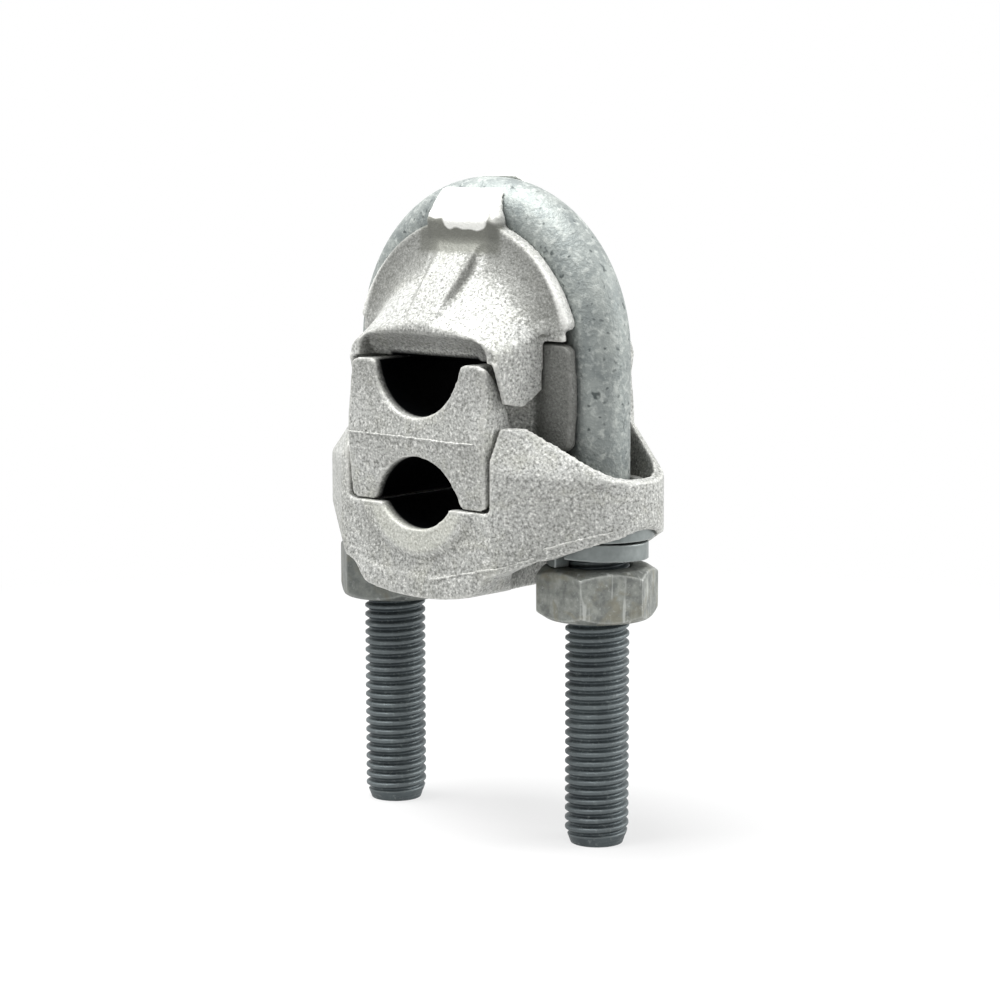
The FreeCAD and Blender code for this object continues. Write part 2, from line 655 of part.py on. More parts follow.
def snout_section(name, y, flare):
    """An arch across the snout: straight sides, round shoulders and a bowed roof."""
    half = along_snout(y, sz["snout_root_half_width"], sz["snout_mouth_half_width"]) + flare
    side = TUNNEL_ROOF + along_snout(y, sz["snout_root_shoulder"], sz["snout_mouth_shoulder"])
    crest = roof_crest(y) + flare
    base = TUNNEL_ROOF - sz["snout_side_drop"]
    bow = arc_radius(half, crest - side)
    small = sz["snout_shoulder_round"]
    rise = root((bow - small) * (bow - small) - (half - small) * (half - small))
    turn_z = crest - bow + rise
    join = bow / (bow - small)
    join_x = (half - small) * join
    join_z = crest - bow + rise * join
    arch = outline(name, FRONT, (-half, base), (half, base), (half, turn_z), (join_x, join_z, small, 1),
                   (-join_x, join_z, bow, 1), (-half, turn_z, small, 1), (-half, base))
    return move(arch, 0, y, 0)


def snout_loft():
    """The snout flares into the flange with a cove and tapers evenly to its mouth."""
    outer = sz["saddle_flange_outer"]
    cove = sz["snout_cove"]
    sections = [snout_section("snout_seat", -outer + 1, cove)]
    for i, share in enumerate(COVE_STEPS):
        flare = cove * (1 - math.sqrt(1 - (1 - share) ** 2))
        sections.append(snout_section("snout_cove_%d" % i, -outer - cove * share, flare))
    straight = sz["snout_reach"] - outer - cove
    for i, share in enumerate(RUN_STEPS):
        sections.append(snout_section("snout_run_%d" % i, -outer - cove - straight * share, 0))
    snout = doc.addObject("Part::Loft", "snout")
    snout.Sections = sections
    snout.Solid = True
    snout.Ruled = False
    return snout


def roof_rib():
    """A rib that fades from the flange to the mouth."""
    outer = sz["saddle_flange_outer"]
    sections = []
    for name, y, half, rise in (
            ("rib_root", -outer + 1, sz["rib_half_width"], sz["rib_rise"]),
            ("rib_mouth", -sz["snout_reach"], sz["rib_mouth_half_width"], sz["rib_mouth_rise"])):
        foot = half + sz["rib_flank"]
        low = roof_crest(y) - sz["rib_flank"] * 2
        high = roof_crest(y) + rise
        sections.append(move(outline(name, FRONT, (-foot, low), (foot, low), (half, high), (-half, high),
                                     (-foot, low)), 0, y, 0))
    rib = doc.addObject("Part::Loft", "rib")
    rib.Sections = sections
    rib.Solid = True
    rib.Ruled = True
    return rib


def upper_saddle():
    outer = sz["saddle_flange_outer"]
    rim = sz["saddle_rim_radius"]
    rim_z = BEND_CENTRE - sz["saddle_rim_drop"]
    rim_end = TUNNEL_ROOF + sz["saddle_rim_rise"]
    inner_end = rim_end - sz["saddle_rim_slope"]
    cut_x = root(rim * rim - (rim_end - rim_z) * (rim_end - rim_z))
    root_x = sz["snout_root_half_width"]
    mouth = -sz["snout_reach"]
    mouth_x = sz["snout_mouth_half_width"]
    flange_face = outline("flange_face", FRONT, (root_x, TUNNEL_ROOF), (root_x, inner_end),
                          (cut_x, rim_end), (-cut_x, rim_end, rim, 1), (-root_x, inner_end),
                          (-root_x, TUNNEL_ROOF), (root_x, TUNNEL_ROOF))
    flange = rounded("flange", prism(flange_face, outer * 2), sz["saddle_rim_corner"],
                     lambda e: along_y(e) and abs(e.CenterOfMass.x) > plain(cut_x) - 0.1)

    # The cove ends level with the flange: below it the snout's sides are flat
    below_plan = outline("below_flange_plan", PLAN, (root_x, -outer), (mouth_x, mouth),
                         (mouth_x + rim, mouth), (root_x + rim, -outer), (root_x, -outer))
    slope = (rim_end - inner_end) / (cut_x - root_x)
    far_x = root_x + rim
    below_face = outline("below_flange_face", FRONT, (0, inner_end - slope * root_x),
                         (0, BEND_CENTRE - rim),
                         (far_x, BEND_CENTRE - rim), (far_x, inner_end + slope * rim),
                         (0, inner_end - slope * root_x))
    below = common("below_flange", prism(below_plan, sz["bolt_height"] * 2), prism(below_face, rim * 2))

    # Side skirts that hang beside the spacer's end flanges
    flank = sz["spacer_half_width"] + sz["skirt_gap"]
    low = TUNNEL_ROOF - sz["skirt_depth"]
    back = -sz["guide_plate_outer"] - sz["skirt_guide_gap"]
    corner = sz["skirt_corner"]
    along = back - mouth
    lean = along * sz["skirt_front_share"]
    skirt_side = outline("skirt_side", SIDE, (back, low + corner), (back, TUNNEL_ROOF + corner),
                         (mouth + 1, TUNNEL_ROOF), (mouth + lean, low + sz["skirt_toe_rise"]),
                         (mouth + lean * 2, low), (back - along * sz["skirt_rear_share"], low),
                         (back, low + corner))
    skirt = prism(skirt_side, root_x - flank, False)
    move(skirt_side, flank, 0, 0)
    taper = outline("skirt_taper", PLAN, (0, -outer), (root_x, -outer), (mouth_x, mouth), (0, mouth),
                    (0, -outer))
    skirt = common("tapered_skirt", skirt, prism(taper, sz["bolt_height"] * 2))

    # The mouth bows out in its middle
    bow = sz["snout_mouth_bow"]
    aside = mouth_x + rim
    bowed = outline("mouth_plan", PLAN, (-aside, 0), (-aside, mouth + bow), (-mouth_x, mouth + bow),
                    (mouth_x, mouth + bow, arc_radius(mouth_x, bow), 1), (aside, mouth + bow), (aside, 0),
                    (-aside, 0))
    snout = cut("snout_sided", snout_loft(), *both_sides(below))
    ends = common("snout_trimmed", fuse("snout_ribbed", snout, roof_rib()),
                  prism(bowed, sz["bolt_height"] * 2))
    solid = fuse("saddle_solid", flange, ends, mirrored(ends, Vector(0, 1, 0)), *four_ways(skirt))

    # Room for the bar, the spacer and the conductor, and the bell mouths
    slot = BAR_RADIUS + sz["seat_clearance"]
    far = LEG_X + BAR_RADIUS * 3
    seat_round = doc.addObject("Part::Torus", "seat_round")
    seat_round.Placement = Placement(Vector(0, 0, 0), Rotation(Vector(1, 0, 0), 90))
    bind(seat_round, Radius1=LEG_X, Radius2=slot)
    move(seat_round, 0, 0, BEND_CENTRE)
    bell = mouth_bell(mouth)
    inner = block("spacer_room", (-flank, mouth - 2, low - 2), (flank, -mouth + 2, TUNNEL_ROOF))
    beside = sz["guide_plate_outer"] + sz["skirt_gap"]
    guide_top = SPACER_BOTTOM + sz["guide_plate_rise"] + sz["guide_plate_height"]
    guide = block("guide_room", (flank, -beside, low), (far_x, beside, guide_top + sz["skirt_gap"]))
    hollow = cut("saddle_hollow", solid, seat_round, over_the_bar(slot, far), inner, bell,
                 mirrored(bell, Vector(0, 1, 0)), *both_sides(guide))
    front_tab = crimped_tab("front_tab", "tab")
    rear_tab = crimped_tab("rear_tab", "rear_tab")
    tabs = cut("saddle_tabs", fuse("both_tabs", front_tab, mirrored(rear_tab, Vector(0, 1, 0))),
               seat_round)
    whole = fuse("saddle_casting", hollow, tabs)
    whole.Label = "upper_saddle"
    return whole


def crimped_tab(name, sizes):
    """A tab that stands up from the flange and is hammered over the crown of the bar."""
    outer = sz["saddle_flange_outer"]
    root_z = CROWN - sz["tab_root_drop"]
    inside = -BAR_RADIUS - sz["seat_clearance"] * 2
    tip = sz[sizes + "_reach"] - BAR_RADIUS
    top = CROWN + sz[sizes + "_rise"]
    lip = -sz[sizes + "_lip_outer"]
    lip_z = CROWN - sz[sizes + "_lip_drop"]
    side = outline(name + "_side", SIDE, (-outer, root_z), (inside, root_z), (inside, CROWN),
                   (tip + sz["tab_tip_thickness"], top), (tip, top),
                   (lip, lip_z, sz[sizes + "_face_radius"], 1), (-outer, lip_z - sz["tab_lip_fall"]),
                   (-outer, root_z))
    face = outline(name + "_face", FRONT, (-sz[sizes + "_left"], root_z), (sz[sizes + "_right"], root_z),
                   (sz[sizes + "_right"], lip_z), (sz[sizes + "_tip_right"], top),
                   (-sz[sizes + "_tip_left"], top), (-sz[sizes + "_left"], lip_z),
                   (-sz[sizes + "_left"], root_z))
    sheared = rounded(name + "_sheared", prism(face, BAR_RADIUS * 4), sz["tab_corner"],
                      lambda e: e.BoundBox.YLength > 1 and e.CenterOfMass.z > plain(CROWN))
    return common(name, prism(side, LEG_X), sheared)


def over_the_bar(slot, far):
    """The open channel above the bar's axis, between the two flanges."""
    ring = outline("over_bar_ring", FRONT, (far, BEND_CENTRE), (-far, BEND_CENTRE, far, 1),
                   (-LEG_X, BEND_CENTRE), (LEG_X, BEND_CENTRE, LEG_X, -1), (far, BEND_CENTRE))
    return prism(ring, slot * 2)


def mouth_bell(mouth):
    """The flared end of the tunnel over the upper groove."""
    deep = sz["mouth_bell_depth"]
    rise = sz["mouth_bell_rise"]
    below = TUNNEL_ROOF - 1
    crest = TUNNEL_ROOF + rise
    slant = root(deep * deep + rise * rise)
    bell_side = outline("bell_side", SIDE, (mouth - 1, below), (mouth + deep, below),
                        (mouth + deep, TUNNEL_ROOF), (mouth, crest, slant * sz["mouth_bell_bend"], 1),
                        (mouth - 1, crest), (mouth - 1, below))
    wide = sz["mouth_half_width"]
    turn = sz["mouth_bell_round"]
    crown = sz["mouth_bell_crown"]
    bell_front = outline("bell_front", FRONT, (-wide, below), (wide, below), (wide, crest - turn),
                         (wide - turn, crest - crown, turn, 1),
                         (turn - wide, crest - crown, arc_radius(wide - turn, crown), 1),
                         (-wide, crest - turn, turn, 1), (-wide, below))
    return common("bell", prism(bell_side, wide * 2 + 2), prism(bell_front, sz["snout_reach"] * 3))


# Lower body: a trough on a keel, with an arm and an ear for each leg

def lower_body():
    end = sz["body_half_length"]
    corner = sz["body_corner_half_width"]
    ear = sz["ear_radius"]
    through = sz["bolt_height"]
    # An arm's face is the tangent from the body's corner to the round of the ear
    far = math.hypot(plain(LEG_X - corner), plain(end))
    lean = math.atan2(-plain(end), plain(corner - LEG_X))
    swing = math.acos(plain(ear) / far)
    touch = lean + swing
    face_x = LEG_X + ear * math.cos(touch)
    face_y = ear * math.sin(touch)
    plan = outline("body_plan", PLAN, (-corner, -end), (corner, -end), (face_x, face_y),
                   (face_x, -face_y, ear, 1), (corner, end), (-corner, end),
                   (-face_x, -face_y), (-face_x, face_y, ear, 1), (-corner, -end))
    tall = rounded("body_footprint", prism(plan, through * 2), sz["body_corner_round"],
                   lambda e: e.BoundBox.ZLength > 50 and abs(abs(e.CenterOfMass.x) - plain(corner)) < 0.1)

    keel = sz["keel_half_width"]
    block_x = sz["block_half_width"]
    bottom = GROOVE_FLOOR - sz["keel_drop"]
    bend = sz["keel_radius"]
    lift = bend - root(bend * bend - keel * keel)
    reach = LEG_X + ear + 0.5
    tip = WASHER_SEAT - sz["ear_lip"]
    under = tip - sz["arm_under_rise"]
    heel = reach - sz["ear_heel"]
    heel_z = tip - sz["arm_under_rise"] * sz["ear_heel"] / (reach - block_x)
    end_z = tip + sz["ear_heel_rise"]
    pocket_floor = WASHER_SEAT + sz["ear_floor"]
    ear_top = pocket_floor + sz["ear_rim"]
    knee = sz["rim_knee_half_width"]
    knee_z = ear_top + sz["rim_knee_rise"]
    crest = SPACER_BOTTOM + sz["shoulder_rise"]
    shoulder = sz["shoulder_half_width"]
    side = outline("body_front", FRONT, (keel, bottom + lift), (block_x, under), (heel, heel_z),
                   (reach, end_z), (reach, ear_top), (knee, knee_z), (shoulder, crest),
                   (-shoulder, crest), (-knee, knee_z), (-reach, ear_top), (-reach, end_z),
                   (-heel, heel_z), (-block_x, under), (-keel, bottom + lift),
                   (keel, bottom + lift, bend, 1))
    profile = rounded("body_profile", prism(side, (end + 2) * 2), sz["keel_round"],
                      lambda e: along_y(e) and abs(abs(e.CenterOfMass.x) - plain(keel)) < 0.1)
    blank = common("body_blank", tall, profile)

    # Raised band along the keel and raised collar round the groove
    band = sz["keel_band"]
    band_face = outline("band_face", FRONT, (keel, bottom + lift), (keel, bottom + lift + band),
                        (-keel, bottom + lift + band, bend, -1), (-keel, bottom + lift),
                        (keel, bottom + lift, bend, 1))
    proud = (end + sz["keel_band_rise"]) * 2
    lobes = rounded("band_lobes", prism(band_face, proud), sz["keel_round"],
                    lambda e: on_band_end(e, plain(keel), plain(bottom + lift)))
    centre = GROOVE_FLOOR + sz["trough_radius"]
    length = (end + sz["collar_rise"]) * 2
    collar = rod("collar", sz["trough_radius"] + sz["collar_width"], length,
                 (0, length / 2, centre), Vector(0, -1, 0))

    ring = rod("leg_ring", sz["leg_ring_radius"], sz["leg_ring_rise"] * 2,
               (LEG_X, 0, pocket_floor - sz["leg_ring_rise"]))

    pocket = prism(pocket_plan(), through, False)
    move(pocket.Base, 0, 0, pocket_floor)
    facet = facet_cut("facet", sz["ridge_slope"], 1, corner, end, touch, sz["ridge_rise"], sz["ridge_fall"])
    undercut = facet_cut("undercut", sz["parting_draft"], -1, corner, end, touch, -sz["parting_drop"],
                         -sz["parting_climb"])
    slot_floor = SPACER_BOTTOM - sz["body_clearance"]
    flank = sz["spacer_half_width"] + sz["skirt_gap"]
    slot = block("spacer_slot", (-flank, -end * 2, slot_floor), (flank, end * 2, slot_floor + through))
    trough = rod("trough", sz["trough_radius"], end * 4, (0, end * 2, centre), Vector(0, -1, 0))
    hole = rod("leg_hole", sz["leg_hole_radius"], through, (LEG_X, 0, 0))
    recess = rod("washer_recess", sz["washer_diameter"] / 2 + sz["washer_recess_gap"], WASHER_SEAT,
                 (LEG_X, 0, 0))
    socket = sz["nut_across_flats"] / math.sqrt(3) + sz["spanner_gap"]
    spanner = rod("spanner_room", socket, WASHER_BOTTOM - sz["spring_washer_wire"], (LEG_X, 0, 0))

    casting = cut("body_drafted", blank, *four_ways(undercut))
    whole = fuse("body_joined", casting, lobes, collar)
    open_top = cut("body_open", whole, slot, *(both_sides(pocket) + four_ways(facet)))
    ringed = fuse("body_ringed", open_top, *both_sides(ring))
    done = cut("body_casting", ringed, trough,
               *(both_sides(hole) + both_sides(recess) + both_sides(spanner)))
    done.Label = "lower_body"
    return done


def on_band_end(edge, keel, low):
    """The lower corner edges of the keel's raised band."""
    middle = edge.CenterOfMass
    return along_y(edge) and abs(abs(middle.x) - keel) < 0.1 and abs(middle.z - low) < 0.1


def pocket_plan():
    """The open pocket about a leg, widening towards the spacer."""
    round_off = sz["pocket_radius"]
    wide = sz["pocket_root_half_length"]
    near = sz["spacer_half_width"] - 1
    far = math.hypot(plain(LEG_X - near), plain(wide))
    touch = math.atan2(-plain(wide), plain(near - LEG_X)) + math.acos(plain(round_off) / far)
    x = LEG_X + round_off * math.cos(touch)
    y = round_off * math.sin(touch)
    return outline("pocket_plan", PLAN, (near, -wide), (x, y), (x, -y, round_off, 1), (near, wide),
                   (near, -wide))


def facet_cut(name, slope, side, corner, end, touch, rise, fall):
    """The wedge taken off above (side 1) or below (side -1) a line along the front right arm's face."""
    steep = math.tan(math.radians(plain(slope)))
    reach = plain(sz["shoulder_rise"]) / steep + 1
    high = reach * steep * side
    wedge = outline(name + "_section", SIDE, (-reach, -high), (reach, high), (-reach, high),
                    (-reach, -high))
    turn = math.degrees(touch) + 90
    tilt = Rotation(Vector(0, 1, 0), plain(fall))
    wedge.Placement = Placement(Vector(plain(corner), -plain(end), plain(WASHER_SEAT + rise)),
                                Rotation(Vector(0, 0, 1), turn) * tilt * SIDE.Rotation)
    return prism(wedge, sz["bolt_height"])


def build():
    parts = [u_bolt(), upper_saddle(), middle_spacer(), lower_body()]
    for side, x in (("left", -LEG_X), ("right", LEG_X)):
        rise = sz[side + "_spring_rise"]
        parts.append(flat_washer("flat_washer_" + side, x))
        parts.append(spring_washer("spring_washer_" + side, x, rise, sz[side + "_split_turn"]))
        parts.append(hex_nut("hex_nut_" + side, x, rise, sz[side + "_nut_height"],
                             sz[side + "_nut_turn"]))
    doc.recompute()
    return parts


def check(parts):
    for item in doc.Objects:
        if "Invalid" in item.State or "Error" in item.State:
            raise RuntimeError("%s failed: %s" % (item.Label, item.State))
    for part in parts:
        shape = part.Shape
        if shape.isNull() or not shape.isValid():
            raise RuntimeError("%s has no valid shape" % part.Label)


parts = build()
check(parts)
os.makedirs("parts", exist_ok=True)
for part in parts:
    part.Shape.exportStep("parts/%s.step" % part.Label)
    print("%-22s solids %d  faces %3d  volume %8.1f mm3" % (
        part.Label, len(part.Shape.Solids), len(part.Shape.Faces), part.Shape.Volume))
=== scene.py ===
import bpy
import bmesh
import math
from mathutils import Matrix, Vector
from mathutils.bvhtree import BVHTree


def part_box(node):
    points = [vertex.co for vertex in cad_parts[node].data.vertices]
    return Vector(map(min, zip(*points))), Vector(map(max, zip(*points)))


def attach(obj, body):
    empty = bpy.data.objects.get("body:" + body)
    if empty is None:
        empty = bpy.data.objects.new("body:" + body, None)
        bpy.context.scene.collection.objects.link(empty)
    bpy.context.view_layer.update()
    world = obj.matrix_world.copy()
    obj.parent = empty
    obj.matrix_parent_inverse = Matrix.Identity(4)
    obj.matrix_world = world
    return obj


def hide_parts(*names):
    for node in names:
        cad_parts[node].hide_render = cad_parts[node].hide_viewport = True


# Parallel groove clamp: three grainy aluminium castings held in a galvanised U-bolt by two nuts.
# Metres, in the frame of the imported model. MM turns the sizes in this file to metres.

MM = 0.001

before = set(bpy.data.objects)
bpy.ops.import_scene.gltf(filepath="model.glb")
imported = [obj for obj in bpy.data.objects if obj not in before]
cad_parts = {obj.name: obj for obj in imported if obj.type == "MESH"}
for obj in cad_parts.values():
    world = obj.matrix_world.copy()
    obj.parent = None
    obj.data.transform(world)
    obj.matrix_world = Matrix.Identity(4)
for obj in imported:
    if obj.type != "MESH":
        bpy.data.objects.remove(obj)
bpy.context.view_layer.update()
scene = bpy.context.scene


# Places: the U-bolt's are read from the frame, and the lower groove's is its middle's height

BOLT_LOW, BOLT_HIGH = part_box("u_bolt")
BAR_RADIUS = (BOLT_HIGH.y - BOLT_LOW.y) / 2
LEG_X = BOLT_HIGH.x - BAR_RADIUS
BEND_Z = BOLT_HIGH.z - BAR_RADIUS - LEG_X
LOWER_GROOVE_Z = 55.5 * MM


# Camera: the photograph's viewing angle, worked out from the legs, the nuts and the grooves

CAMERA_PLACE = Vector((289.75, -318.05, 111.62)) * MM
CAMERA_AZIMUTH = 42.178
CAMERA_DOWN = 7.898
CAMERA_ROLL = 0.083
CAMERA_LENS = 97.97
CAMERA_SENSOR = 36.0
CAMERA_NEAR = 0.01


def make_camera():
    data = bpy.data.cameras.new("photo_camera")
    data.lens = CAMERA_LENS
    data.sensor_width = CAMERA_SENSOR
    data.clip_start = CAMERA_NEAR
    camera = bpy.data.objects.new("photo_camera", data)
    scene.collection.objects.link(camera)
    turn = Matrix.Rotation(math.radians(CAMERA_AZIMUTH), 4, "Z")
    tilt = Matrix.Rotation(math.radians(90 - CAMERA_DOWN), 4, "X")
    roll = Matrix.Rotation(math.radians(-CAMERA_ROLL), 4, "Z")
    camera.matrix_world = Matrix.Translation(CAMERA_PLACE) @ turn @ tilt @ roll
    scene.camera = camera


# Node helpers

def linear(code):
    """An sRGB hex colour as the linear colour that a shader reads."""
    parts = [int(code[i:i + 2], 16) / 255 for i in (1, 3, 5)]
    return tuple(c / 12.92 if c <= 0.04045 else ((c + 0.055) / 1.055) ** 2.4 for c in parts) + (1.0,)


def per_metre(size_mm):
    """A pattern's scale for grains of this real size."""
    return 1 / (size_mm * MM)


def add(tree, kind, inputs=None, output=0, **settings):
    """Add a node with its settings and links, and give one of its outputs. inputs says what goes
    into each input, by name or number: a plain value or another node's output."""
    node = tree.nodes.new(kind)
    for name, value in settings.items():
        setattr(node, name, value)
    for name, value in (inputs or {}).items():
        if isinstance(value, bpy.types.NodeSocket):
            tree.links.new(value, node.inputs[name])
        else:
            node.inputs[name].default_value = value
    return node.outputs[output] if len(node.outputs) else None


def new_material(name):
    material = bpy.data.materials.new(name)
    material.use_nodes = True
    material.node_tree.nodes.clear()
    return material, material.node_tree


# Materials

ZINC_METAL = 0.6


def mask(tree, *limits, most=1.0):
    """As much as most where every value is past its limits, and none where one isn't. Each entry is
    a value, where it starts and where it is full."""
    whole = most
    for value, start, full in limits:
        part = add(tree, "ShaderNodeMapRange", {"Value": value, "From Min": start, "From Max": full})
        whole = add(tree, "ShaderNodeMath", {0: part, 1: whole}, operation="MULTIPLY")
    return whole


def coat(tree, base, code, value, start, full, most=1.0):
    """Lay a colour over a base where a value is past its start, as much as most where it is full."""
    share = add(tree, "ShaderNodeMapRange", {"Value": value, "From Min": start, "From Max": full,
                                             "To Max": most})
    return add(tree, "ShaderNodeMix", {0: share, 6: base, 7: linear(code)}, 2, data_type="RGBA")


def close_material(tree, colour, metal, rough, height, strength, relief_mm):
    """Give a material its one shader, with its relief, and its output."""
    bump = add(tree, "ShaderNodeBump", {"Height": height, "Strength": strength,
                                        "Distance": relief_mm * MM})
    shader = add(tree, "ShaderNodeBsdfPrincipled", {"Base Color": colour, "Metallic": metal,
                                                    "Roughness": rough, "Normal": bump})
    add(tree, "ShaderNodeOutputMaterial", {"Surface": shader})


def from_axis(tree, x, z, height):
    """Distance from the line that runs along the conductors at this height."""
    over = add(tree, "ShaderNodeMath", {0: z, 1: height}, operation="SUBTRACT")
    away = add(tree, "ShaderNodeCombineXYZ", {"X": x, "Y": over})
    return add(tree, "ShaderNodeVectorMath", {0: away}, "Value", operation="LENGTH")


def tab_marks(tree, skin, place, z, across, along):
    """The saddle's tabs: each face that the hammer struck flat is bright with a ragged edge, partly
    polished and partly a painted highlight, and the lip below it is darker with painted shade."""
    # Painted shade on the lip below each tab
    lip = mask(tree, (across, 9.0 * MM, 8.0 * MM), (along, 6.0 * MM, 6.6 * MM),
               (along, 10.5 * MM, 9.5 * MM), (z, 91.0 * MM, 92.0 * MM))
    skin = add(tree, "ShaderNodeMix", {0: lip, 6: skin, 7: linear("#75766f")}, 2, data_type="RGBA")
    ragged = add(tree, "ShaderNodeTexNoise", {"Vector": place, "Scale": per_metre(5.0), "Detail": 1.0})
    ragged = add(tree, "ShaderNodeMath", {0: ragged, 1: 7.0 * MM, 2: z}, operation="MULTIPLY_ADD")
    # The tab's face: polish from the hammer and a painted highlight
    hammered_highlight = mask(tree, (across, 9.0 * MM, 8.4 * MM), (along, 10.5 * MM, 9.5 * MM),
                    (ragged, 99.8 * MM, 100.2 * MM))
    return add(tree, "ShaderNodeMix", {0: hammered_highlight, 6: skin, 7: linear("#e8e8e4")}, 2,
               data_type="RGBA")


def rim_marks(tree, skin, x, z, across, along):
    """The saddle's rim is lighter, partly worn bright and partly a painted highlight, and painted
    shade lies in the cove inside it and on the rib's flanks."""
    rim = from_axis(tree, x, z, BEND_Z)
    # The rim: wear and a painted highlight
    edge = mask(tree, (rim, 20.9 * MM, 21.5 * MM), (along, 8.8 * MM, 8.3 * MM),
                (z, 80.0 * MM, 82.0 * MM), (across, 6.0 * MM, 7.5 * MM), most=0.4)
    skin = add(tree, "ShaderNodeMix", {0: edge, 6: skin, 7: linear("#efefeb")}, 2, data_type="RGBA")
    # Painted shade in the cove and on the rib's flanks
    cove = mask(tree, (along, 6.9 * MM, 7.3 * MM), (along, 10.4 * MM, 8.7 * MM),
                (across, 5.5 * MM, 6.5 * MM), (z, 79.5 * MM, 82.5 * MM),
                (rim, 21.5 * MM, 20.9 * MM), most=0.6)
    flank = mask(tree, (across, 2.9 * MM, 3.3 * MM), (across, 5.4 * MM, 4.4 * MM),
                 (z, 83.4 * MM, 85.0 * MM), (along, 8.4 * MM, 9.0 * MM), most=0.6)
    shaded = add(tree, "ShaderNodeMath", {0: cove, 1: flank}, operation="MAXIMUM")
    return add(tree, "ShaderNodeMix", {0: shaded, 6: skin, 7: linear("#62635e")}, 2, data_type="RGBA")


def shade_and_collar_marks(tree, skin, x, z, across, along, plate_shade):
    """A little painted shade lies on faces that look down under the saddle's roof, more on the
    spacer's horns and most on its plates, in the saddle's shadow. The collar round the low groove is
    lighter."""
    facing = add(tree, "ShaderNodeTexCoord", output="Normal")
    down = add(tree, "ShaderNodeSeparateXYZ", {"Vector": facing}, "Z")
    # Painted shade on faces that look down under the saddle's roof
    under = mask(tree, (across, 17.0 * MM, 15.0 * MM), (z, 76.5 * MM, 77.5 * MM),
                 (z, 84.0 * MM, 83.0 * MM), (down, 0.0, -0.15), most=0.4)
    # Painted shade on the spacer's plates and horns, under the saddle
    plates = mask(tree, (across, 14.9 * MM, 15.8 * MM), most=plate_shade)
    horns = mask(tree, (z, 66.0 * MM, 74.0 * MM), most=0.4 * plate_shade)
    painted_shade = add(tree, "ShaderNodeMath", {0: plates, 1: horns}, operation="MAXIMUM")
    painted_shade = add(tree, "ShaderNodeMath", {0: under, 1: painted_shade}, operation="MAXIMUM")
    skin = add(tree, "ShaderNodeMix", {0: painted_shade, 6: skin, 7: linear("#4c4d49")}, 2, data_type="RGBA")
    ring = from_axis(tree, x, z, LOWER_GROOVE_Z)
    collar = mask(tree, (ring, 10.4 * MM, 9.4 * MM), (z, 53.0 * MM, 52.0 * MM),
                  (along, 15.5 * MM, 16.5 * MM), most=0.3)
    return add(tree, "ShaderNodeMix", {0: collar, 6: skin, 7: linear("#cfd0c2")}, 2, data_type="RGBA")


def blasted_casting(name, polish, plate_shade):
    """Cast aluminium, shot blasted: a matt, even grey. Each grain of the blast holds a little painted
    shade or a painted glint, handled edges are polished lighter, corners are darker with dirt and
    painted shade, and the two conductor grooves are painted black as shade. polish is how far the
    edges are worn bright, and the last argument how much painted shade lies on the spacer's plates
    and horns."""
    material, tree = new_material(name)
    place = add(tree, "ShaderNodeTexCoord", output="Object")
    # The blast's grain is 0.2 to 0.5 mm. It is drawn at 0.42 mm, about three pixels, so that it shows
    fine = add(tree, "ShaderNodeTexNoise", {"Vector": place, "Scale": per_metre(0.42), "Detail": 2.0,
                                            "Roughness": 0.65})
    # Pits that the sand mould leaves, about 1 mm
    pits = add(tree, "ShaderNodeTexNoise", {"Vector": place, "Scale": per_metre(1.2), "Detail": 2.0})
    cloud = add(tree, "ShaderNodeTexNoise", {"Vector": place, "Scale": per_metre(8.0), "Detail": 3.0})
    stain = add(tree, "ShaderNodeTexNoise", {"Vector": place, "Scale": per_metre(5.0), "Detail": 4.0,
                                             "Roughness": 0.7, "Distortion": 0.6})
    bend = add(tree, "ShaderNodeNewGeometry", output="Pointiness")
    # The skin's two greys, olive stains, the grain's painted specks of shade and glints of light,
    #     # darker corners with dirt and painted shade, and worn edges
    skin = coat(tree, linear("#a0a19d"), "#b0b1ae", cloud, 0.35, 0.65)
    skin = coat(tree, skin, "#a3a28c", stain, 0.52, 0.72, 0.25)
    # Painted shade and painted glints of light in the grain
    skin = coat(tree, skin, "#6b6c68", fine, 0.50, 0.32, 0.9)
    skin = coat(tree, skin, "#dededa", fine, 0.55, 0.70, 0.9)
    # Corners darker with dirt and painted shade; convex edges worn lighter
    skin = coat(tree, skin, "#55564f", bend, 0.492, 0.46, 0.75)
    skin = coat(tree, skin, "#d6d6d1", bend, 0.515, 0.57, polish)
    # The marks that lie at one place: across is the distance from the middle to either leg, and
    # along from the middle to the front or the rear
    x = add(tree, "ShaderNodeSeparateXYZ", {"Vector": place}, "X")
    z = x.node.outputs["Z"]
    across = add(tree, "ShaderNodeMath", {0: x}, operation="ABSOLUTE")
    along = add(tree, "ShaderNodeMath", {0: x.node.outputs["Y"]}, operation="ABSOLUTE")
    skin = tab_marks(tree, skin, place, z, across, along)
    skin = rim_marks(tree, skin, x, z, across, along)
    skin = shade_and_collar_marks(tree, skin, x, z, across, along, plate_shade)
    # Painted shade: black inside the grooves, between the horns, in from both mouths, under the
    #     # saddle's roof
    black = mask(tree, (across, 9.8 * MM, 9.2 * MM), (along, 17.4 * MM, 16.0 * MM),
                 (z, 48.2 * MM, 48.8 * MM), (z, 76.6 * MM, 75.8 * MM))
    skin = add(tree, "ShaderNodeMix", {0: black, 6: skin, 7: linear("#040506")}, 2, data_type="RGBA")
    rough = add(tree, "ShaderNodeMapRange", {"Value": fine, "From Min": 0.3, "From Max": 0.7,
                                             "To Min": 0.7, "To Max": 0.5})
    rough = add(tree, "ShaderNodeMix", {0: black, 2: rough, 3: 0.95})
    metal = add(tree, "ShaderNodeMix", {0: black, 2: 0.3, 3: 1.0})
    height = add(tree, "ShaderNodeMath", {0: fine, 1: pits}, operation="ADD")
    close_material(tree, skin, metal, rough, height, 0.7, 0.16)
    return material


